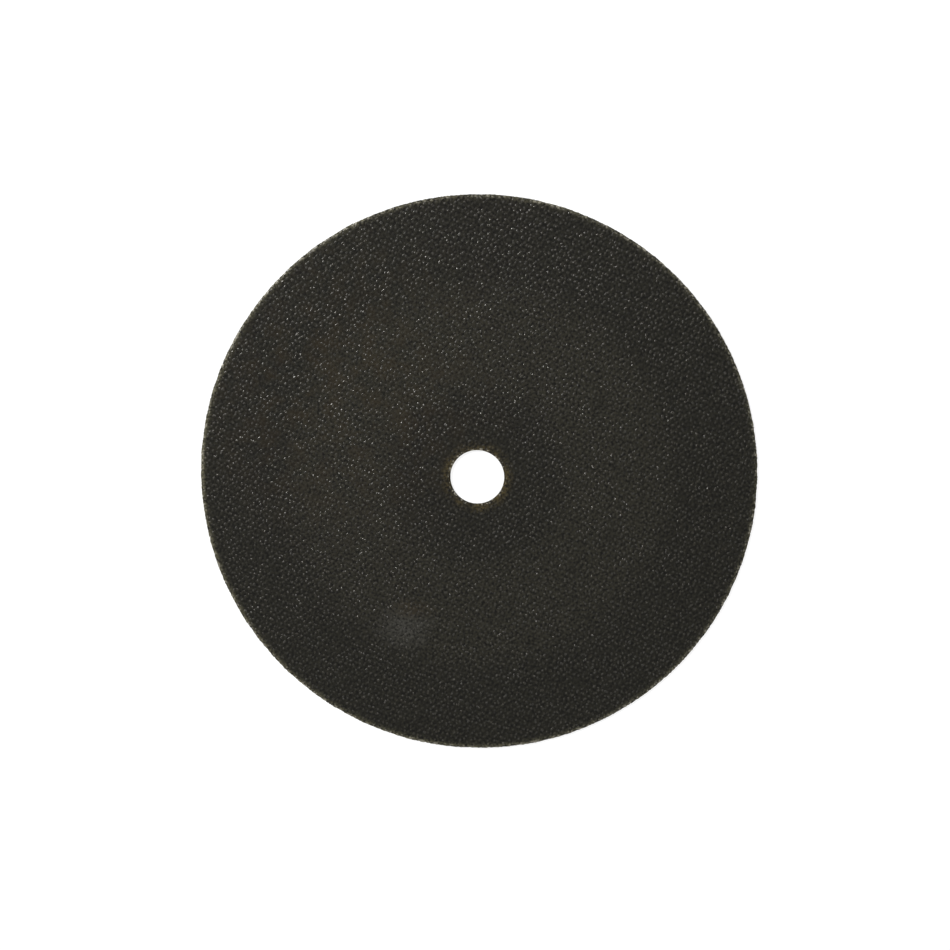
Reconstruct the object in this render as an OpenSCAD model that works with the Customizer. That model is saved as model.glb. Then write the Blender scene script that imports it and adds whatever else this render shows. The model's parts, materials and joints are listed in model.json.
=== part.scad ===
// Cut off wheel: one thin flat disc of resin-bonded grit, pressed between two sheets of glass cloth.
// It lies flat. The origin is on the bore's axis, on the back face that it rests on, and +Z is the axis.

/* [Wheel] */
// Outside diameter
wheel_d = 230; // [100:1:400]
// Thickness over both faces
wheel_t = 2; // [1:0.1:5]
// Diameter of the arbor bore
bore_d = 22.23; // [9.5:0.01:50]

/* [Edges] */
// Width of the bevel in which each face rolls off towards the rim
rim_bevel_w = 0.8; // [0.1:0.05:3]
// Drop of that bevel at the rim
rim_bevel_h = 0.25; // [0.05:0.05:0.45]
// Chamfer on the two edges of the bore
bore_chamfer = 0.2; // [0.05:0.05:0.45]

/* [Cloth relief] */
// Width of the smooth seat around the bore, which the weave doesn't reach
seat_w = 2.2; // [1:0.1:20]
// Spacing of the rows in which the cloth's yarns crown
row_pitch = 2.27; // [1.4:0.01:8]
// Width of the flat crown of one row
crown_w = 0.9; // [0.3:0.05:1.3]
// Depth of the furrow between two rows
furrow_depth = 0.12; // [0.05:0.01:0.3]
// Direction of the rows on the front face, in degrees from +X
front_angle = -20; // [-90:1:90]
// Direction of the rows on the back face, in degrees from +X
back_angle = 36; // [-90:1:90]

/* [Hidden] */
$fn = 180;

wheel_r = wheel_d / 2;
bore_r = bore_d / 2;
seat_r = bore_r + seat_w;

// A furrow is a V. Its sides run on above the face until half of the crown's room is taken up.
furrow_w = row_pitch - crown_w;
furrow_rise = furrow_depth * crown_w / furrow_w / 2;
furrow_mouth = furrow_w * (1 + furrow_rise / furrow_depth);
furrows_each_side = ceil(wheel_r / row_pitch);

// The tool that cuts the furrows reaches past the wheel on every side.
cutter_h = furrow_rise + wheel_t;
cutter_l = wheel_d + wheel_t;

// Half section of the wheel, with its four broken edges.
module wheel_section() {
    polygon([
        [bore_r, bore_chamfer],
        [bore_r + bore_chamfer, 0],
        [wheel_r - rim_bevel_w, 0],
        [wheel_r, rim_bevel_h],
        [wheel_r, wheel_t - rim_bevel_h],
        [wheel_r - rim_bevel_w, wheel_t],
        [bore_r + bore_chamfer, wheel_t],
        [bore_r, wheel_t - bore_chamfer]
    ]);
}

// Comb of V teeth, in the plane across the rows, with the face at y = 0.
module furrow_comb() {
    half_w = (furrows_each_side + 1) * row_pitch;
    teeth = [
        for (i = [-furrows_each_side : furrows_each_side - 1])
            let (x = (i + 0.5) * row_pitch)
                each [
                    [x - furrow_mouth / 2, furrow_rise],
                    [x, -furrow_depth],
                    [x + furrow_mouth / 2, furrow_rise]
                ]
    ];
    polygon(concat(
        [[half_w, furrow_rise], [half_w, cutter_h], [-half_w, cutter_h], [-half_w, furrow_rise]],
        teeth
    ));
}

// What the furrows take from a face that looks up and lies at z = 0. They stop at the seat.
module face_furrows(angle) {
    difference() {
        rotate(angle)
            rotate([90, 0, 0])
                linear_extrude(height = cutter_l, center = true)
                    furrow_comb();
        cylinder(r = seat_r, h = 2 * cutter_h, center = true);
    }
}

module cut_off_wheel() {
    color("#2f2e29")
        difference() {
            rotate_extrude() wheel_section();
            translate([0, 0, wheel_t])
                face_furrows(front_angle);
            mirror([0, 0, 1])
                face_furrows(back_angle);
        }
}

cut_off_wheel();
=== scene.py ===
# %% [markdown]
# # A cut off wheel, pressed from grit, resin and glass cloth
#
# The wheel is one thin disc. In the press, a layer of black grit and phenolic resin is squeezed between
# sheets of woven glass, and the weave prints thousands of small crowns into both faces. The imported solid
# gives the true size and place, so everything below is measured from it.

# %% Load the solid and measure it
import json
from math import cos, pi, radians, sin

import bpy
import numpy as np
from mathutils import Matrix, Vector


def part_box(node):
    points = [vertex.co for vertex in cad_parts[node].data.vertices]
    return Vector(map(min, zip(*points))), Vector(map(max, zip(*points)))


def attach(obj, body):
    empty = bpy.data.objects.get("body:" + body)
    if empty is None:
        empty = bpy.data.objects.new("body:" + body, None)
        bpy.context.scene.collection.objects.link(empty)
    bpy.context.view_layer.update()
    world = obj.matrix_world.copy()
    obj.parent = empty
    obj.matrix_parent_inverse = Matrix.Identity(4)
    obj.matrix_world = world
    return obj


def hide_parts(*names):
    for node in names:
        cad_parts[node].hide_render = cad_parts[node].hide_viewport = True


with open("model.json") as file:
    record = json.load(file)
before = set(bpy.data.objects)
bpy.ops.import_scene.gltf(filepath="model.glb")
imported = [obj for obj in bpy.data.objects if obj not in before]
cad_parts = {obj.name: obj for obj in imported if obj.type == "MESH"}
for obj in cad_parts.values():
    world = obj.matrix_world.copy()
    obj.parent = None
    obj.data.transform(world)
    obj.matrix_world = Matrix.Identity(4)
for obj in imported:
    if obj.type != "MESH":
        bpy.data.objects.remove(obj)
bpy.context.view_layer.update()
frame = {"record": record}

MM = 0.001
NODE = "cut_off_wheel"
low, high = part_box(NODE)
mounts = {mount["name"]: mount for mount in frame["record"]["mounts"]}

rim_r = max(-low.x, high.x, -low.y, high.y)
thick = high.z
bore_r = mounts["arbor_bore"]["dims"]["r_mm"] * MM
print(f"wheel {2 * rim_r / MM:.1f} mm across, {thick / MM:.2f} mm thick, bore {2 * bore_r / MM:.2f} mm")

# %% [markdown]
# ## The camera
#
# The wheel is seen from almost straight above. Its rim is a slightly flattened circle and the bore sits a
# little off that circle's centre. Together these two facts fix the tilt and the distance of the lens. The
# camera's axes are set one by one, because an aim constraint has no sure "up" when it looks straight down.
# What Blender shows is data, such as a lens, held by an object in a collection. The menu commands make
# both at once but depend on what is selected, so a small function makes them here.

# %% Put data into the scene


def new_object(name, data):
    """An object that holds this data, linked into the scene."""
    made = bpy.data.objects.new(name, data)
    bpy.context.scene.collection.objects.link(made)
    return made


# %% Place the camera
SENSOR_MM = 36.0
LENS_MM = 51.14
CAMERA_DISTANCE = 556 * MM
CAMERA_TILT = radians(6.4)
TILT_TOWARDS = radians(71.3)
FRAME_PX = 950
BORE_OFFSET_PX = (2.2, 2.1)

aim = Vector((0, 0, thick))
back = Vector((
    sin(CAMERA_TILT) * cos(TILT_TOWARDS),
    sin(CAMERA_TILT) * sin(TILT_TOWARDS),
    cos(CAMERA_TILT),
))
right = Vector((0, 1, 0)).cross(back).normalized()
up = back.cross(right)
axes = Matrix((right, up, back)).transposed().to_4x4()

camera_data = bpy.data.cameras.new("camera")
camera_data.sensor_width = SENSOR_MM
camera_data.lens = LENS_MM
camera_data.shift_x = -BORE_OFFSET_PX[0] / FRAME_PX
camera_data.shift_y = BORE_OFFSET_PX[1] / FRAME_PX
camera = new_object("camera", camera_data)
camera.matrix_world = Matrix.Translation(aim + back * CAMERA_DISTANCE) @ axes
bpy.context.scene.camera = camera
print("camera at", [round(c, 4) for c in camera.location])

# %% [markdown]
# ## The weave
#
# In a plain weave each yarn goes over one and under the next, so the high crossings, the crowns, lie on a
# grid. Yarns modelled one by one would need millions of triangles, and only their print is left to see. A
# sum of two cosines has one peak per grid cell, and their product lifts the peaks and sinks the rest. The
# wheel has two cloths near each face, one turned against the other, and both print through.

# %% The weave as a height
CROWN_PITCH = 1.94 * MM
ROW_PITCH = 2.27 * MM
CLOTH_ANGLES = (radians(-20), radians(36))
CROWN_SHARPNESS = 0.45
ROW_SHARES = (0.55, 0.68)


def weave(x, y, angle, row_share):
    """Height of one cloth, from about -1 in the gaps to 1 + CROWN_SHARPNESS on the crowns."""
    wave_along = np.cos(2 * pi * (x * cos(angle) + y * sin(angle)) / CROWN_PITCH)
    wave_across = np.cos(2 * pi * (y * cos(angle) - x * sin(angle)) / ROW_PITCH)
    rows = row_share * wave_across + (1 - row_share) * wave_along
    return rows + CROWN_SHARPNESS * wave_along * wave_across


print(f"about {pi * rim_r ** 2 / (CROWN_PITCH * ROW_PITCH):.0f} crowns on each face")

# %% [markdown]
# ## The printed faces
#
# No two crowns are alike: grit and resin push each one up or fill it in, so the heights are drawn at
# random from a fixed seed. Around the bore the press has a smooth ring, the seat, and the weave fades out
# there. A displacement in the material could do this too, but then the exported mesh would be a plain
# disc.

# %% Heights on one face
RELIEF = 0.24 * MM
INNER_CLOTH_SHARE = 0.75
CROWN_SUNK = 0.55
CROWN_RAISED = CROWN_SUNK / 3
GRIT_SPREAD = 0.16
SEAT_W = 2.2 * MM
SEAT_FADE = 0.9 * MM
SEAT_LEVEL = 0.2
SEAT_GRIT = GRIT_SPREAD / 2


def face_heights(x, y, crowns, angles, random):
    """Depth of the face under its highest crown, in metres, always zero or below."""
    outer = weave(x, y, angles[0], ROW_SHARES[0])
    inner = weave(x, y, angles[1], ROW_SHARES[1])
    lift = random.uniform(1 - CROWN_SUNK, 1 + CROWN_RAISED, x.shape)
    height = np.where(crowns, outer * lift, outer) + INNER_CLOTH_SHARE * inner
    height += random.normal(0, GRIT_SPREAD, x.shape)
    off_seat = np.clip((np.hypot(x, y) - bore_r - SEAT_W) / SEAT_FADE + 0.5, 0, 1)
    seat = random.normal(SEAT_LEVEL, SEAT_GRIT, x.shape)
    height = off_seat * height + (1 - off_seat) * seat
    top = (1 + CROWN_SHARPNESS) * (1 + INNER_CLOTH_SHARE)
    return RELIEF * np.minimum((height - top) / (1 + top), 0)


print(f"relief {RELIEF / MM:.2f} mm deep, seat {SEAT_W / MM:.1f} mm wide")

# %% [markdown]
# ## A grid that follows the cloth
#
# One face is a grid of points laid along its own outer cloth, two points per crown each way, so every
# crown has a point on its top. A square grid would have to be far finer to catch the crowns, and would
# cost far more triangles. Small random shifts to the side keep the rows from looking machined.

# %% Points of one face
SIDE_SHIFT = 0.12 * MM
STEP_ALONG = CROWN_PITCH / 2
STEP_ACROSS = ROW_PITCH / 2
SHEET_MARGIN = 2 * MM


def printed_points(angles, seed, z_face, outward):
    """The grid's numbers along and across the outer cloth, and a point of the face for each pair."""
    random = np.random.default_rng(seed)
    reach = rim_r + SHEET_MARGIN
    count_along = int(reach / STEP_ALONG) + 1
    count_across = int(reach / STEP_ACROSS) + 1
    i, j = np.meshgrid(
        np.arange(-count_along, count_along + 1),
        np.arange(-count_across, count_across + 1),
        indexing="ij",
    )
    along = i * STEP_ALONG + random.uniform(-SIDE_SHIFT, SIDE_SHIFT, i.shape)
    across = j * STEP_ACROSS + random.uniform(-SIDE_SHIFT, SIDE_SHIFT, j.shape)
    x = along * cos(angles[0]) - across * sin(angles[0])
    y = along * sin(angles[0]) + across * cos(angles[0])
    crowns = (i % 2 == 0) & (j % 2 == 0)
    z = z_face + outward * face_heights(x, y, crowns, angles, random)
    return i, j, np.column_stack([x.ravel(), y.ravel(), z.ravel()])


print(f"a point every {STEP_ALONG / MM:.2f} mm along the rows and {STEP_ACROSS / MM:.3f} mm across")

# %% [markdown]
# ## Thick sheets to cut with
#
# A boolean needs closed blocks, so each face gets a skirt and a plain far side past the wheel. The
# diagonals of the small squares all run from a crown to a hollow, which keeps the crowns round.

# %% Triangles of a face


def face_triangles(i, j):
    """Two triangles for each square of the grid."""
    index = np.arange(i.size).reshape(i.shape)
    a, b, c, d = index[:-1, :-1], index[1:, :-1], index[1:, 1:], index[:-1, 1:]
    through_a = ((i + j)[:-1, :-1] % 2 == 0)[..., None]
    first = np.where(through_a, np.dstack([a, b, c]), np.dstack([a, b, d]))
    second = np.where(through_a, np.dstack([a, c, d]), np.dstack([b, c, d]))
    return np.concatenate([first.reshape(-1, 3), second.reshape(-1, 3)]).tolist()


# %% Build the two sheets
SHEET_DEPTH = 2 * thick
FRONT_SEED = 11
BACK_SEED = 23


def face_sheet(name, angles, seed, z_face, outward):
    """A closed block with the printed face on one side and a plain face on the other."""
    i, j, printed = printed_points(angles, seed, z_face, outward)
    index = np.arange(i.size).reshape(i.shape)
    edge = np.concatenate([index[:-1, 0], index[-1, :-1], index[:0:-1, -1], index[0, :0:-1]])
    below = i.size + np.arange(len(edge))
    far_side = printed[edge].copy()
    far_side[:, 2] = z_face - outward * SHEET_DEPTH

    faces = face_triangles(i, j)
    for k in range(len(edge)):
        n = (k + 1) % len(edge)
        faces.append([int(edge[n]), int(edge[k]), int(below[k]), int(below[n])])
    faces.append(below[::-1].tolist())
    if outward < 0:
        faces = [face[::-1] for face in faces]

    mesh = bpy.data.meshes.new(name)
    mesh.from_pydata(np.concatenate([printed, far_side]).tolist(), [], faces)
    print(f"{name}: {len(faces)} faces")
    return new_object(name, mesh)


front_sheet = face_sheet("front_sheet", CLOTH_ANGLES, FRONT_SEED, thick, 1)
back_sheet = face_sheet("back_sheet", CLOTH_ANGLES[::-1], BACK_SEED, 0.0, -1)

# %% [markdown]
# ## The ring
#
# At the rim the faces of the real wheel roll off to a rough, slightly wavering wall of broken grit, and
# the bore is clean with a small chamfer. A section turned once around the axis gives both. The grit is a
# random shift of each point, and the wavering is a running mean of random numbers, which changes slowly.
# The slopes go on past the faces, so that the cut which follows meets them cleanly.

# %% Section of the ring
RIM_BEVEL_W = 1.7 * MM
RIM_BEVEL_H = 0.45 * MM
BEVEL_ROWS = 4
BEVEL_GRIT = 0.04 * MM
RIM_ROWS = 4
RIM_GRIT = 0.13 * MM
BORE_CHAMFER = 0.2 * MM
PAST_FACE = 0.1 * MM


def ring_profile():
    """Radius, height and depth of the grit at each point of the section, once around."""
    past_bevel = 1 + PAST_FACE / RIM_BEVEL_H
    slope = [
        (rim_r - share * RIM_BEVEL_W, RIM_BEVEL_H * (1 - share), BEVEL_GRIT)
        for share in np.linspace(past_bevel, 0, BEVEL_ROWS, endpoint=False)
    ]
    wall = [
        (rim_r - RIM_GRIT, z, RIM_GRIT)
        for z in np.linspace(RIM_BEVEL_H, thick - RIM_BEVEL_H, RIM_ROWS)
    ]
    upper_slope = [(r, thick - z, grit) for r, z, grit in reversed(slope)]
    bore = [
        (bore_r + BORE_CHAMFER + PAST_FACE, thick + PAST_FACE, 0.0),
        (bore_r, thick - BORE_CHAMFER, 0.0),
        (bore_r, BORE_CHAMFER, 0.0),
        (bore_r + BORE_CHAMFER + PAST_FACE, -PAST_FACE, 0.0),
    ]
    return np.array(slope + wall + upper_slope + bore)


profile = ring_profile()
print(f"section: {len(profile)} points")

# %% Turn the ring
AROUND = 1280
RIM_WANDER = 0.3 * MM
WANDER_STEPS = 8
RIM_SEED = 37


def turned_ring(name):
    """The section turned once around the axis, with the rim's grit drawn at random."""
    random = np.random.default_rng(RIM_SEED)
    turn = np.linspace(0, 2 * pi, AROUND, endpoint=False)
    radius = profile[:, 0] + profile[:, 2] * random.uniform(-1, 1, (AROUND, len(profile)))
    height = profile[:, 1] + profile[:, 2] * random.uniform(-1, 1, (AROUND, len(profile)))
    drawn = random.uniform(0, 1, AROUND)
    wander = sum(np.roll(drawn, shift) for shift in range(WANDER_STEPS)) / WANDER_STEPS
    wander = (wander - wander.max()) / (wander.max() - wander.min())
    radius += RIM_WANDER * wander[:, None] * (profile[:, 2] > 0)
    points = np.dstack([
        radius * np.cos(turn)[:, None],
        radius * np.sin(turn)[:, None],
        height,
    ]).reshape(-1, 3)

    index = np.arange(len(points)).reshape(radius.shape)
    next_turn = np.roll(index, -1, axis=0)
    faces = np.dstack([
        index, next_turn, np.roll(next_turn, -1, axis=1), np.roll(index, -1, axis=1),
    ]).reshape(-1, 4)
    mesh = bpy.data.meshes.new(name)
    mesh.from_pydata(points.tolist(), [], faces.tolist())
    return new_object(name, mesh)


wheel = turned_ring("pressed_wheel")
print(f"ring: {len(wheel.data.polygons)} faces")

# %% [markdown]
# ## Punching out the disc
#
# What the ring and both sheets have in common is the wheel, so two boolean modifiers intersect them. The
# weave then runs right out to the rim, as on the real wheel, and the result is one closed mesh. The
# MANIFOLD solver is quick on clean closed meshes like these. The result is kept as plain mesh data, and
# the sheets are thrown away. The wheel then takes the place of the plain solid.

# %% Cut the ring down to the two printed faces
for sheet in (front_sheet, back_sheet):
    trim = wheel.modifiers.new("trim", "BOOLEAN")
    trim.operation = "INTERSECT"
    trim.solver = "MANIFOLD"
    trim.object = sheet

graph = bpy.context.evaluated_depsgraph_get()
pressed = bpy.data.meshes.new_from_object(wheel.evaluated_get(graph))
wheel.modifiers.clear()
wheel.data = pressed
for sheet in (front_sheet, back_sheet):
    bpy.data.objects.remove(sheet)

triangles = sum(len(face.vertices) - 2 for face in pressed.polygons)
print(f"pressed wheel: {len(pressed.vertices)} points, {triangles} triangles")

# %% Smooth the faces, keep the edges, and stand in for the solid
SHARP_EDGE = radians(38)

pressed.shade_smooth()
pressed.set_sharp_from_angle(angle=SHARP_EDGE)

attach(wheel, "root")
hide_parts(NODE)
print(f"{wheel.name} stands for {NODE}")

# %% [markdown]
# ## Helpers for materials
#
# Colours are picked as screen colours, so one function turns a hex value into the linear light that
# shaders work in. One more adds a node, sets it and links it: a socket as a value makes a link, the rest
# is set. A Mix node keeps a set of sockets for each type of data under the same names, so those go by
# number.

# %% Colours and nodes
COLOUR_A, COLOUR_B, COLOUR_OUT = 6, 7, 2
NUMBER_A, NUMBER_B = 2, 3


def linear(hex_colour):
    """Linear RGBA of an sRGB hex colour."""
    channels = [int(hex_colour[k:k + 2], 16) / 255 for k in (1, 3, 5)]
    return [c / 12.92 if c <= 0.04045 else ((c + 0.055) / 1.055) ** 2.4 for c in channels] + [1.0]


def empty_tree(owner):
    """The node tree of a material or a world, with nothing in it."""
    owner.use_nodes = True
    owner.node_tree.nodes.clear()
    return owner.node_tree


def add(tree, kind, inputs=None, **settings):
    """A new node of that kind, with its settings, and its inputs by name or number."""
    new = tree.nodes.new("ShaderNode" + kind)
    for key, value in settings.items():
        setattr(new, key, value)
    for key, value in (inputs or {}).items():
        if isinstance(value, bpy.types.NodeSocket):
            tree.links.new(value, new.inputs[key])
        else:
            new.inputs[key].default_value = value
    return new


print(f"the screen's mid grey, #808080, is {linear('#808080')[0]:.2f} in linear light")

# %% [markdown]
# ## Black phenolic resin over glass cloth
#
# The disc is phenolic resin full of black grit, hot pressed under glass cloth and baked hard. To the eye
# it is black and dull. Where a yarn crowns, the resin over it is only a thin glazed film, so each crown
# gives a small grey glint, and the pits between the crowns stay dark. A picture would tie the finish to
# one view, so it is all made of node patterns, laid out in millimetres on the object's own coordinates.
# They look the same from every side.

# %% Start the material and measure places on the wheel
pressed_cloth = bpy.data.materials.new("black_phenolic_resin_on_pressed_glass_cloth")
tree = empty_tree(pressed_cloth)
rim_mm = rim_r / MM
bore_mm = bore_r / MM

place = add(tree, "TexCoord").outputs["Object"]
place_mm = add(tree, "VectorMath", {0: place, "Scale": 1 / MM}, operation="SCALE").outputs[0]
split = add(tree, "SeparateXYZ", {0: place_mm}).outputs
flat_place = add(tree, "CombineXYZ", {"X": split["X"], "Y": split["Y"]}).outputs[0]
radius_mm = add(tree, "VectorMath", {0: flat_place}, operation="LENGTH").outputs["Value"]
print(f"{pressed_cloth.name}: radius from {bore_mm:.2f} to {rim_mm:.1f} mm")

# %% [markdown]
# ## Finding the nearest crown
#
# A Voronoi texture with little randomness is a grid of cells with a random colour each, which is just
# what a lattice of uneven crowns needs. Each cloth has its own, turned and spaced like its yarns. On the
# front the outer one is the mesh's own grid, so that glints and crowns fall together. Yarns never lie
# quite straight, so a slow noise pushes the places along the rows first. The inner cloth is held less
# firmly and wanders more. A cell's point lies up to CROWN_JITTER of a pitch past the corner of its cell,
# so the grid is set back by half of that.

# %% Cells of a cloth
PITCH_MM = (CROWN_PITCH / MM, ROW_PITCH / MM)
CROWN_JITTER = 0.2
LOOSE_MM = 5.0
NOISE_MIDDLE = 0.5

loose_noise = add(tree, "TexNoise", {
    "Vector": flat_place, "Scale": 1 / LOOSE_MM, "Detail": 0.0,
}).outputs[0]
loose = add(tree, "Math", {0: loose_noise, 1: NOISE_MIDDLE}, operation="SUBTRACT").outputs[0]


def nearest_crown(angle, wander_mm):
    """Offset from the nearest crown in pitches along and across the rows, and its random colour."""
    wander = add(tree, "VectorMath", {
        0: loose, 1: (wander_mm * cos(angle), wander_mm * sin(angle), 0),
    }, operation="MULTIPLY").outputs[0]
    wandering_place = add(tree, "VectorMath", {0: flat_place, 1: wander}, operation="ADD").outputs[0]
    grid = add(tree, "Mapping", {
        "Vector": wandering_place,
        "Location": (-CROWN_JITTER / 2 * PITCH_MM[0], -CROWN_JITTER / 2 * PITCH_MM[1], 0),
        "Rotation": (0, 0, angle),
        "Scale": (*PITCH_MM, 1),
    }, vector_type="TEXTURE").outputs[0]
    cells = add(tree, "TexVoronoi", {
        "Vector": grid, "Scale": 1.0, "Randomness": CROWN_JITTER,
    }, voronoi_dimensions="2D").outputs
    offset = add(tree, "VectorMath", {0: grid, 1: cells["Position"]}, operation="SUBTRACT").outputs[0]
    return offset, cells["Color"]


print(f"cells of {PITCH_MM[0]:.2f} by {PITCH_MM[1]:.2f} mm")

# %% [markdown]
# ## The shape and the shine of a crown
#
# A crown is a low dome, a little longer than wide, with the glazed film on its top. The mesh has one
# point on each crown, which is enough for the outline but not for a round glint, so a bump in the
# material rounds it. Most crowns are dull and a few are bright: a power of the cell's random number makes
# bright ones rare. Height and shine come from different random numbers, so that the tall crowns aren't
# always the bright ones.

# %% Form of a crown
CROWN_HALF_MM = (0.6, 0.46)
FILM_EDGE = (1.05, 0.7)
SHINE_RARITY = 1.9
LEAST_SHINE = 0.15
LEAST_LIFT = 0.55


def crown_form(offset, cell_colour, turn):
    """Height and shine of a cloth's crowns, from 0 to 1, and a random number for their tint."""
    offset_mm = add(tree, "VectorMath", {0: offset, 1: (*PITCH_MM, 1)}, operation="MULTIPLY").outputs[0]
    stretched = add(tree, "Mapping", {
        "Vector": offset_mm, "Rotation": (0, 0, turn), "Scale": (*CROWN_HALF_MM, 1),
    }, vector_type="TEXTURE").outputs[0]
    away = add(tree, "VectorMath", {0: stretched}, operation="LENGTH").outputs["Value"]
    dome = add(tree, "MapRange", {
        "Value": away, "From Min": 1.0, "From Max": 0.0,
    }, interpolation_type="SMOOTHSTEP").outputs[0]
    film = add(tree, "MapRange", {
        "Value": away, "From Min": FILM_EDGE[0], "From Max": FILM_EDGE[1],
    }, interpolation_type="SMOOTHSTEP").outputs[0]
    chance = add(tree, "SeparateColor", {0: cell_colour}).outputs
    rare = add(tree, "Math", {0: chance["Red"], 1: SHINE_RARITY}, operation="POWER").outputs[0]
    glaze = add(tree, "MapRange", {"Value": rare, "To Min": LEAST_SHINE}).outputs[0]
    lift = add(tree, "MapRange", {"Value": chance["Blue"], "To Min": LEAST_LIFT}).outputs[0]
    height = add(tree, "Math", {0: dome, 1: lift}, operation="MULTIPLY").outputs[0]
    shine = add(tree, "Math", {0: film, 1: glaze}, operation="MULTIPLY").outputs[0]
    return height, shine, chance["Green"]


# %% Crowns of both cloths
CROWN_TURNS = (radians(64), radians(52))
CROWN_WANDER_MM = (0.5, 3.0)

outer_offset, outer_colour = nearest_crown(CLOTH_ANGLES[0], CROWN_WANDER_MM[0])
inner_offset, inner_colour = nearest_crown(CLOTH_ANGLES[1], CROWN_WANDER_MM[1])
outer_height, outer_shine, tint_chance = crown_form(
    outer_offset, outer_colour, CROWN_TURNS[0] - CLOTH_ANGLES[0])
inner_height, inner_shine, _ = crown_form(
    inner_offset, inner_colour, CROWN_TURNS[1] - CLOTH_ANGLES[1])
both_heights = add(tree, "Math", {0: outer_height, 1: inner_height}, operation="MAXIMUM").outputs[0]
both_shine = add(tree, "Math", {0: outer_shine, 1: inner_shine}, operation="MAXIMUM").outputs[0]
print(f"crowns {2 * CROWN_HALF_MM[0]:.2f} by {2 * CROWN_HALF_MM[1]:.2f} mm, {len(tree.nodes)} nodes so far")

# %% [markdown]
# ## Where the weave shows
#
# The weave is printed on the two flat faces, not on the walls of the rim and the bore, and the direction
# that the surface faces tells them apart. Towards the bore the flanges have pressed and rubbed it weaker.
# Here and there the resin has flooded the weave, so that its crowns hardly rise. A slow noise sets those
# patches.

# %% Faces and seat
FACE_UP = (0.5, 0.75)
SEAT_WEAVE = 0.6
SEAT_BLEND_MM = (11.5, 27.0)

facing = add(tree, "SeparateXYZ", {0: add(tree, "NewGeometry").outputs["True Normal"]}).outputs["Z"]
flatness = add(tree, "Math", {0: facing}, operation="ABSOLUTE").outputs[0]
on_face = add(tree, "MapRange", {
    "Value": flatness, "From Min": FACE_UP[0], "From Max": FACE_UP[1],
}).outputs[0]
past_seat = add(tree, "MapRange", {
    "Value": radius_mm, "From Min": SEAT_BLEND_MM[0], "From Max": SEAT_BLEND_MM[1], "To Min": SEAT_WEAVE,
}, interpolation_type="SMOOTHSTEP").outputs[0]
cloth_area = add(tree, "Math", {0: on_face, 1: past_seat}, operation="MULTIPLY").outputs[0]
print(f"weave at {SEAT_WEAVE:.0%} by the bore, whole from {SEAT_BLEND_MM[1]} mm out")

# %% Flooded patches
FLOOD_MM = 9.0
FLOOD_NOISE = (0.32, 0.48)
FLOODED_WEAVE = 0.5

flood_noise = add(tree, "TexNoise", {
    "Vector": flat_place, "Scale": 1 / FLOOD_MM, "Detail": 1.0,
}).outputs[0]
open_weave = add(tree, "MapRange", {
    "Value": flood_noise, "From Min": FLOOD_NOISE[0], "From Max": FLOOD_NOISE[1], "To Min": FLOODED_WEAVE,
}).outputs[0]
cloth_area = add(tree, "Math", {0: cloth_area, 1: open_weave}, operation="MULTIPLY").outputs[0]
print(f"weave at {FLOODED_WEAVE:.0%} in flooded patches of about {FLOOD_MM} mm")

# %% [markdown]
# ## Grit in the resin
#
# Between the crowns the eye sees grains in black resin, as fine noise from near black to a dark warm
# grey. Real grains are about 0.5 mm wide, which is close to one pixel of the render. They are drawn twice
# as coarse, so that they show. A second, slower noise is kept for stains and for ragged edges.

# %% Grit and the noise for stains
GRIT_MM = 1.0
GRIT_NOISE = (0.35, 0.65)
STAIN_MM = 7.0
RESIN_DARK = "#030302"
RESIN_LIGHT = "#201f18"

grit_noise = add(tree, "TexNoise", {
    "Vector": place_mm, "Scale": 1 / GRIT_MM, "Detail": 2.0, "Roughness": 0.6,
}).outputs[0]
grit = add(tree, "MapRange", {
    "Value": grit_noise, "From Min": GRIT_NOISE[0], "From Max": GRIT_NOISE[1],
}).outputs[0]
stain = add(tree, "TexNoise", {
    "Vector": place_mm, "Scale": 1 / STAIN_MM, "Detail": 3.0, "Roughness": 0.65,
}).outputs[0]
colour = add(tree, "Mix", {
    0: grit, COLOUR_A: linear(RESIN_DARK), COLOUR_B: linear(RESIN_LIGHT),
}, data_type="RGBA").outputs[COLOUR_OUT]
print(f"grit {GRIT_MM} mm, stains {STAIN_MM} mm")

# %% [markdown]
# ## A warm stain and a paler ring
#
# One side of the wheel is browner, in patches, and a broad ring around the middle is paler. Both are soft
# masks by distance, one from a point and one from the axis. The noise makes the stain patchy, and the paler
# ring follows the grains.

# %% A warm stain
STAIN_AT_MM = (-55.0, 38.0)
STAIN_REACH_MM = (75.0, 20.0)
STAIN_NOISE = (0.42, 0.66)
STAIN_MOST = 0.6
STAIN_TONE = "#261e0f"

from_stain = add(tree, "VectorMath", {
    0: flat_place, 1: (*STAIN_AT_MM, 0),
}, operation="DISTANCE").outputs["Value"]
stain_side = add(tree, "MapRange", {
    "Value": from_stain, "From Min": STAIN_REACH_MM[0], "From Max": STAIN_REACH_MM[1],
}).outputs[0]
stain_patch = add(tree, "MapRange", {
    "Value": stain, "From Min": STAIN_NOISE[0], "From Max": STAIN_NOISE[1], "To Max": STAIN_MOST,
}).outputs[0]
stain_amount = add(tree, "Math", {0: stain_side, 1: stain_patch}, operation="MULTIPLY").outputs[0]
colour = add(tree, "Mix", {
    0: stain_amount, COLOUR_A: colour, COLOUR_B: linear(STAIN_TONE),
}, data_type="RGBA").outputs[COLOUR_OUT]
print(f"stain up to {STAIN_REACH_MM[0]} mm around {STAIN_AT_MM} mm")

# %% A paler ring
RING_INNER_MM = (30.0, 42.0)
RING_OUTER_MM = (87.0, 70.0)
RING_MOST = 0.25
RING_TONE = "#3d3a2e"

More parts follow.
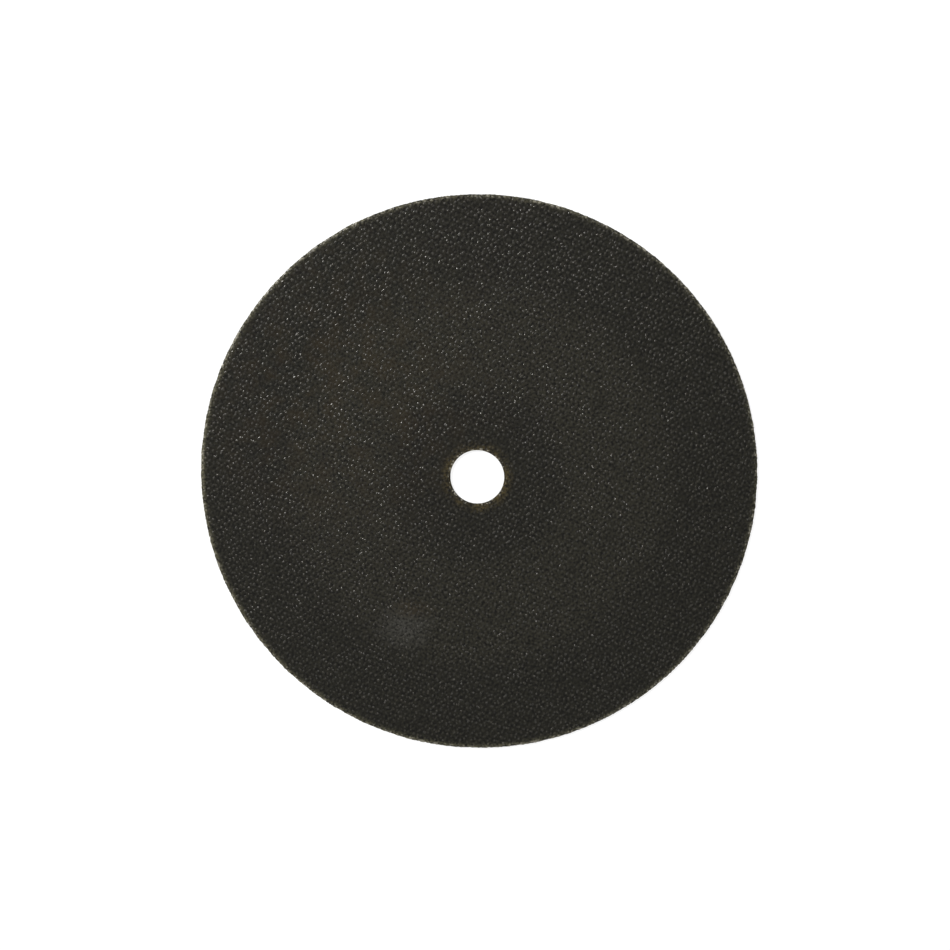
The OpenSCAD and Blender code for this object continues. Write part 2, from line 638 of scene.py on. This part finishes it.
ring_inner = add(tree, "MapRange", {
    "Value": radius_mm, "From Min": RING_INNER_MM[0], "From Max": RING_INNER_MM[1],
}, interpolation_type="SMOOTHSTEP").outputs[0]
ring_outer = add(tree, "MapRange", {
    "Value": radius_mm, "From Min": RING_OUTER_MM[0], "From Max": RING_OUTER_MM[1], "To Max": RING_MOST,
}, interpolation_type="SMOOTHSTEP").outputs[0]
ring_zone = add(tree, "Math", {0: ring_inner, 1: ring_outer}, operation="MULTIPLY").outputs[0]
ring_amount = add(tree, "Math", {0: ring_zone, 1: grit}, operation="MULTIPLY").outputs[0]
colour = add(tree, "Mix", {
    0: ring_amount, COLOUR_A: colour, COLOUR_B: linear(RING_TONE),
}, data_type="RGBA").outputs[COLOUR_OUT]
print(f"ring of dust from {RING_INNER_MM[0]} to {RING_OUTER_MM[0]} mm out")

# %% [markdown]
# ## A rubbed patch and a rusty blotch
#
# Low on the left something has rubbed the front grey, with a rusty mark beside it. Each is an oval whose
# edge is made ragged by the stain noise. The grey lies on the grains, and the weave under it is worn a
# little.

# %% Blotches on the front
BLOTCHES = (
    {"at_mm": (-30.0, -63.0), "half_mm": (10.0, 9.0), "colour": "#3b3a36", "weave_left": 0.75},
    {"at_mm": (-27.0, -55.5), "half_mm": (8.0, 4.0), "colour": "#2b2417", "weave_left": 0.85},
)
BLOTCH_RAGGED = 1.1
BLOTCH_EDGE = (1.85, 0.85)
BLOTCH_THIN = 0.1
FRONT_UP = (0.4, 0.6)

on_front = add(tree, "MapRange", {
    "Value": facing, "From Min": FRONT_UP[0], "From Max": FRONT_UP[1],
}).outputs[0]
dusting = add(tree, "MapRange", {"Value": grit, "To Min": BLOTCH_THIN}).outputs[0]
dusted_front = add(tree, "Math", {0: on_front, 1: dusting}, operation="MULTIPLY").outputs[0]
for blotch in BLOTCHES:
    blotch_place = add(tree, "Mapping", {
        "Vector": flat_place, "Location": (*blotch["at_mm"], 0), "Scale": (*blotch["half_mm"], 1),
    }, vector_type="TEXTURE").outputs[0]
    away = add(tree, "VectorMath", {0: blotch_place}, operation="LENGTH").outputs["Value"]
    ragged = add(tree, "Math", {0: stain, 1: BLOTCH_RAGGED, 2: away}, operation="MULTIPLY_ADD").outputs[0]
    inside = add(tree, "MapRange", {
        "Value": ragged, "From Min": BLOTCH_EDGE[0], "From Max": BLOTCH_EDGE[1],
    }).outputs[0]
    amount = add(tree, "Math", {0: inside, 1: dusted_front}, operation="MULTIPLY").outputs[0]
    colour = add(tree, "Mix", {
        0: amount, COLOUR_A: colour, COLOUR_B: linear(blotch["colour"]),
    }, data_type="RGBA").outputs[COLOUR_OUT]
    weave_left = add(tree, "MapRange", {
        "Value": amount, "To Min": 1.0, "To Max": blotch["weave_left"],
    }).outputs[0]
    cloth_area = add(tree, "Math", {0: cloth_area, 1: weave_left}, operation="MULTIPLY").outputs[0]
    print(f"blotch {blotch['colour']} at {blotch['at_mm']} mm")

# %% [markdown]
# ## Painted shade in the gaps, and the crowns in colour
#
# Between the rows of the inner cloth the resin is painted darker, as shade in the gaps, and the offset
# across the rows tells where. The film on the crowns is a dark grey, some of it warmer. Its lighter grey is
# laid where the film shines, so it is partly a painted highlight. Most of what the eye takes for bright
# crowns is their gloss, so these colours stay dark.

# %% Paint shade into the gaps and colour the crowns
ROW_GAP = (0.15, 0.5)
GAP_SHADE = 0.88
CROWN_FILM_AND_HIGHLIGHT_TONES = ("#2c2b28", "#2d2a23")

across_rows = add(tree, "SeparateXYZ", {0: inner_offset}).outputs["Y"]
off_row = add(tree, "Math", {0: across_rows}, operation="ABSOLUTE").outputs[0]
# Painted shade: the resin colour is darkened in the gaps between the inner cloth's rows.
painted_gap_shade = add(tree, "MapRange", {
    "Value": off_row, "From Min": ROW_GAP[0], "From Max": ROW_GAP[1], "To Min": 1.0, "To Max": GAP_SHADE,
}).outputs[0]
colour = add(tree, "Mix", {
    0: 1.0, COLOUR_A: colour, COLOUR_B: painted_gap_shade,
}, data_type="RGBA", blend_type="MULTIPLY").outputs[COLOUR_OUT]
# Painted highlight, in part: the crowns' lighter grey is laid where their film shines, over the grey of the
# film.
crown_film_and_highlight_tint = add(tree, "Mix", {
    0: tint_chance, COLOUR_A: linear(CROWN_FILM_AND_HIGHLIGHT_TONES[0]), COLOUR_B: linear(CROWN_FILM_AND_HIGHLIGHT_TONES[1]),
}, data_type="RGBA").outputs[COLOUR_OUT]
crown_amount = add(tree, "Math", {0: both_shine, 1: cloth_area}, operation="MULTIPLY").outputs[0]
colour = add(tree, "Mix", {
    0: crown_amount, COLOUR_A: colour, COLOUR_B: crown_film_and_highlight_tint,
}, data_type="RGBA").outputs[COLOUR_OUT]
print(f"crowns from {CROWN_FILM_AND_HIGHLIGHT_TONES[0]} to {CROWN_FILM_AND_HIGHLIGHT_TONES[1]}")

# %% [markdown]
# ## Dust and painted glare along the rim, singed resin around the bore
#
# A pale band lies on the last few millimetres before the rim, more of it on one side. It is partly dust
# that clings there and partly painted glare from the white floor around the edge. Around the bore the resin
# has gone brown. Both fade with the distance from their edge. A power makes the pale band fade quickly at
# first, and a dot product with a direction tells the paler side from the other.

# %% Dust and painted glare along the rim
RIM_DUST_AND_GLARE_MM = 4.0
RIM_DUST_AND_GLARE_FADE = 3.0
RIM_DUST_AND_GLARE_TONE = "#625f4a"
DRIFT_TOWARDS = radians(210)
DRIFT_AMOUNT = (0.75, 1.6)

# Painted glare: besides dust, this pale band stands in for light from the white floor spread over the edge.
towards_rim = add(tree, "MapRange", {
    "Value": radius_mm, "From Min": rim_mm - RIM_DUST_AND_GLARE_MM, "From Max": rim_mm,
}).outputs[0]
fading_dust_and_glare = add(tree, "Math", {0: towards_rim, 1: RIM_DUST_AND_GLARE_FADE}, operation="POWER").outputs[0]
along_drift = add(tree, "VectorMath", {
    0: flat_place, 1: (cos(DRIFT_TOWARDS), sin(DRIFT_TOWARDS), 0),
}, operation="DOT_PRODUCT").outputs["Value"]
drift = add(tree, "MapRange", {
    "Value": along_drift, "From Min": -rim_mm, "From Max": rim_mm,
    "To Min": DRIFT_AMOUNT[0], "To Max": DRIFT_AMOUNT[1],
}).outputs[0]
rim_dust_and_glare = add(tree, "Math", {0: fading_dust_and_glare, 1: drift}, operation="MULTIPLY").outputs[0]
amount = add(tree, "Math", {0: rim_dust_and_glare, 1: grit}, operation="MULTIPLY").outputs[0]
colour = add(tree, "Mix", {
    0: amount, COLOUR_A: colour, COLOUR_B: linear(RIM_DUST_AND_GLARE_TONE),
}, data_type="RGBA").outputs[COLOUR_OUT]
print(f"dust on the last {RIM_DUST_AND_GLARE_MM} mm before the rim")

# %% Singed resin around the bore
BORE_SINGE_MM = 4.5
SINGE_NOISE = (0.38, 0.62)
LEAST_SINGE = 0.2
SINGE_TONE = "#4e4324"

towards_bore = add(tree, "MapRange", {
    "Value": radius_mm, "From Min": bore_mm + BORE_SINGE_MM, "From Max": bore_mm,
}).outputs[0]
singe_patch = add(tree, "MapRange", {
    "Value": stain, "From Min": SINGE_NOISE[0], "From Max": SINGE_NOISE[1], "To Min": LEAST_SINGE,
}).outputs[0]
bore_singe = add(tree, "Math", {0: towards_bore, 1: singe_patch}, operation="MULTIPLY").outputs[0]
amount = add(tree, "Math", {0: bore_singe, 1: grit}, operation="MULTIPLY").outputs[0]
colour = add(tree, "Mix", {
    0: amount, COLOUR_A: colour, COLOUR_B: linear(SINGE_TONE),
}, data_type="RGBA").outputs[COLOUR_OUT]
print(f"singed up to {BORE_SINGE_MM} mm from the bore")

# %% [markdown]
# ## Cut ends of the glass yarns
#
# Along both edges the yarns are cut through. Their ends are pale specks, and the broken film beside them
# glints. A Voronoi texture with cells as wide as a yarn gives each end its own chance of showing. In
# these narrow bands the broken glaze takes the place of the crowns.

# %% Bands along the edges
RIM_BAND_MM = 1.6
BORE_BAND_MM = 1.2

near_rim = add(tree, "MapRange", {
    "Value": radius_mm, "From Min": rim_mm - RIM_BAND_MM, "From Max": rim_mm - RIM_BAND_MM / 2,
}).outputs[0]
near_bore = add(tree, "MapRange", {
    "Value": radius_mm, "From Min": bore_mm + BORE_BAND_MM, "From Max": bore_mm + BORE_BAND_MM / 2,
}).outputs[0]
at_edge = add(tree, "Math", {0: near_rim, 1: near_bore}, operation="MAXIMUM").outputs[0]
print(f"bands of {RIM_BAND_MM} mm at the rim and {BORE_BAND_MM} mm at the bore")

# %% Specks
YARN_END_MM = 0.7
YARN_END_RARITY = (0.72, 0.85)
YARN_END_MOST = 0.8
YARN_END_TONE = "#8c887a"

ends = add(tree, "TexVoronoi", {"Vector": place_mm, "Scale": 1 / YARN_END_MM}).outputs
end_chance = add(tree, "SeparateColor", {0: ends["Color"]}).outputs
end_speck = add(tree, "MapRange", {
    "Value": end_chance["Red"], "To Max": YARN_END_MOST,
    "From Min": YARN_END_RARITY[0], "From Max": YARN_END_RARITY[1],
}).outputs[0]
amount = add(tree, "Math", {0: end_speck, 1: at_edge}, operation="MULTIPLY").outputs[0]
colour = add(tree, "Mix", {
    0: amount, COLOUR_A: colour, COLOUR_B: linear(YARN_END_TONE),
}, data_type="RGBA").outputs[COLOUR_OUT]
print(f"yarn ends {YARN_END_MM} mm wide")

# %% Broken glaze
EDGE_GLAZE = (0.45, 0.7)
EDGE_SHINE = 0.85

end_glaze = add(tree, "MapRange", {
    "Value": end_chance["Green"], "To Max": EDGE_SHINE,
    "From Min": EDGE_GLAZE[0], "From Max": EDGE_GLAZE[1],
}).outputs[0]
edge_glaze = add(tree, "Math", {0: end_glaze, 1: at_edge}, operation="MULTIPLY").outputs[0]
glazed = add(tree, "Mix", {
    0: at_edge, NUMBER_A: crown_amount, NUMBER_B: edge_glaze,
}, data_type="FLOAT").outputs[0]
off_edge = add(tree, "Math", {0: 1.0, 1: at_edge}, operation="SUBTRACT").outputs[0]
cloth_area = add(tree, "Math", {0: cloth_area, 1: off_edge}, operation="MULTIPLY").outputs[0]
print(f"glaze up to {EDGE_SHINE:.0%} along the edges")

# %% [markdown]
# ## Broken grains on the walls
#
# The walls of the rim and the bore are bare grit, grains of about half a millimetre, most of them dark
# and a few pale. Voronoi cells stand for the grains, and a power of their random number keeps the pale
# ones rare.

# %% Grains
GRAIN_MM = 0.5
GRAIN_RARITY = 2.5
GRAIN_TONES = ("#12110d", "#5c5442")

grains = add(tree, "TexVoronoi", {"Vector": place_mm, "Scale": 1 / GRAIN_MM}).outputs
grain_chance = add(tree, "SeparateColor", {0: grains["Color"]}).outputs["Red"]
grain_light = add(tree, "Math", {0: grain_chance, 1: GRAIN_RARITY}, operation="POWER").outputs[0]
grain_colour = add(tree, "Mix", {
    0: grain_light, COLOUR_A: linear(GRAIN_TONES[0]), COLOUR_B: linear(GRAIN_TONES[1]),
}, data_type="RGBA").outputs[COLOUR_OUT]
colour = add(tree, "Mix", {
    0: on_face, COLOUR_A: grain_colour, COLOUR_B: colour,
}, data_type="RGBA").outputs[COLOUR_OUT]
print(f"grains {GRAIN_MM} mm, {len(tree.nodes)} nodes so far")

# %% [markdown]
# ## Gloss and bump
#
# Cured phenolic resin has an IOR of about 1.55. Full of grit it is as good as matt, and only the film on
# the crowns is smooth, so the roughness runs between those two. The specular level is set below the
# default 0.5, because the real film is thin and scuffed and its glints are weaker than those of clean
# resin. The bump adds the domes of the crowns and the grit on the faces, and the grains on the walls.

# %% Bump
BUMP_DEPTH = 0.15 * MM
GRIT_SHARE = 0.23
GRAIN_SHARE = 0.75

crown_bump = add(tree, "Math", {0: both_heights, 1: cloth_area}, operation="MULTIPLY").outputs[0]
face_bump = add(tree, "Math", {0: grit, 1: GRIT_SHARE, 2: crown_bump}, operation="MULTIPLY_ADD").outputs[0]
grain_bump = add(tree, "MapRange", {
    "Value": grains["Distance"], "To Min": GRAIN_SHARE, "To Max": 0.0,
}).outputs[0]
height = add(tree, "Mix", {
    0: on_face, NUMBER_A: grain_bump, NUMBER_B: face_bump,
}, data_type="FLOAT").outputs[0]
bump = add(tree, "Bump", {"Height": height, "Distance": BUMP_DEPTH, "Strength": 1.0}).outputs[0]
print(f"bump {BUMP_DEPTH / MM:.2f} mm deep")

# %% Gloss, and the finished surface
ROUGH_RESIN = 0.95
ROUGH_CROWN = 0.16
RESIN_IOR = 1.55
FILM_SPECULAR = 0.32
FILM_TINT = "#fffcf6"

roughness = add(tree, "MapRange", {
    "Value": glazed, "To Min": ROUGH_RESIN, "To Max": ROUGH_CROWN,
}).outputs[0]
surface = add(tree, "BsdfPrincipled", {
    "Base Color": colour, "Roughness": roughness, "Normal": bump, "IOR": RESIN_IOR,
    "Specular IOR Level": FILM_SPECULAR, "Specular Tint": linear(FILM_TINT),
})
add(tree, "OutputMaterial", {"Surface": surface.outputs[0]})

pressed.materials.clear()
pressed.materials.append(pressed_cloth)
print(f"{pressed_cloth.name}: {len(tree.nodes)} nodes")

# %% [markdown]
# ## The floor
#
# The wheel lies on a wide white floor. Paint alone would need so much light to look white that the wheel
# would be washed out, so the floor glows to the eye and in reflections, and lights nothing. A share of it
# is plain paint, which takes the shadow. Far from the lamps the paint is dark, so the glow grows
# outwards.

# %% Make the floor
FLOOR_HALF = 6.0

floor_mesh = bpy.data.meshes.new("floor")
floor_mesh.from_pydata(
    [(-FLOOR_HALF, -FLOOR_HALF, 0), (FLOOR_HALF, -FLOOR_HALF, 0),
     (FLOOR_HALF, FLOOR_HALF, 0), (-FLOOR_HALF, FLOOR_HALF, 0)],
    [], [(0, 1, 2, 3)],
)
floor = new_object("floor", floor_mesh)
print(f"floor {2 * FLOOR_HALF:.0f} m across")

# %% Paint the floor
FLOOR_PAINT = "#8a8a8a"
FLOOR_GLOW = (0.85, 1.0)
GLOW_REACH = (0.5, 1.5)


def seen_by_eye(tree):
    """1 for rays from the eye, straight, by a reflection or through glass, and 0 for the rest."""
    rays = add(tree, "LightPath").outputs
    seen = rays["Is Camera Ray"]
    for other in ("Is Glossy Ray", "Is Transmission Ray"):
        seen = add(tree, "Math", {0: seen, 1: rays[other]}, operation="MAXIMUM").outputs[0]
    return seen


white_paint = bpy.data.materials.new("white_painted_floor")
tree = empty_tree(white_paint)
paint = add(tree, "BsdfDiffuse", {"Color": linear(FLOOR_PAINT)}).outputs[0]
from_wheel = add(tree, "VectorMath", {
    0: add(tree, "TexCoord").outputs["Object"],
}, operation="LENGTH").outputs["Value"]
glow_level = add(tree, "MapRange", {
    "Value": from_wheel, "From Min": GLOW_REACH[0], "From Max": GLOW_REACH[1],
    "To Min": FLOOR_GLOW[0], "To Max": FLOOR_GLOW[1],
}).outputs[0]
glow_strength = add(tree, "Math", {0: seen_by_eye(tree), 1: glow_level}, operation="MULTIPLY").outputs[0]
glow = add(tree, "Emission", {"Strength": glow_strength}).outputs[0]
lit_paint = add(tree, "AddShader", {0: paint, 1: glow}).outputs[0]
add(tree, "OutputMaterial", {"Surface": lit_paint})
floor_mesh.materials.append(white_paint)
print(f"{white_paint.name}: {len(tree.nodes)} nodes")

# %% [markdown]
# ## The room
#
# A dim, even room fills the shadows. To the eye it is white near the horizon, so that the floor has no
# edge in a low view, and dark overhead, so that the crowns mirror the lamps and little else.

# %% Make the room
ROOM_FILL = 0.04
ROOM_ZENITH = 0.024
HORIZON_UP = (0.1, 0.25)
ROOM_WHITE = "#ffffff"

room = bpy.data.worlds.new("room")
tree = empty_tree(room)
upward = add(tree, "SeparateXYZ", {0: add(tree, "TexCoord").outputs["Generated"]}).outputs["Z"]
wall = add(tree, "MapRange", {
    "Value": upward, "From Min": HORIZON_UP[0], "From Max": HORIZON_UP[1],
    "To Min": 1.0, "To Max": ROOM_ZENITH,
}, interpolation_type="SMOOTHSTEP").outputs[0]
strength = add(tree, "Mix", {
    0: seen_by_eye(tree), NUMBER_A: ROOM_FILL, NUMBER_B: wall,
}, data_type="FLOAT").outputs[0]
sky = add(tree, "Background", {"Color": linear(ROOM_WHITE), "Strength": strength}).outputs[0]
add(tree, "OutputWorld", {"Surface": sky})
bpy.context.scene.world = room
print(f"{room.name}: fill {ROOM_FILL}")

# %% [markdown]
# ## Three soft boxes
#
# The key box stands up and to the left. It gives most of the light and the sharp glints on that side. A
# broad box behind on the right and another in front on the right are far weaker, and give the other
# crowns their softer shine. A smaller box makes brighter, sharper glints at the same power, so the sizes
# matter here.

# %% Light the wheel


def soft_box(name, place, size, watts):
    """A square area lamp at that place, aimed at the wheel, with its place and size in metres."""
    lamp = bpy.data.lights.new(name, "AREA")
    lamp.size = size
    lamp.energy = watts
    box = new_object(name, lamp)
    box.location = place
    box.rotation_euler = (aim - Vector(place)).to_track_quat("-Z", "Y").to_euler()
    print(f"{name}: {watts} W, {(aim - Vector(place)).length:.2f} m away")


soft_box("key_box", place=(-0.41, 0.31, 0.66), size=0.22, watts=7.2)
soft_box("top_box", place=(0.22, 0.335, 0.40), size=0.40, watts=0.85)
soft_box("low_box", place=(0.19, -0.408, 0.35), size=0.45, watts=0.82)

# %% [markdown]
# ## Look
#
# The plain Standard view shows colours as they are written.

# %% Finish
bpy.context.scene.view_settings.view_transform = "Standard"
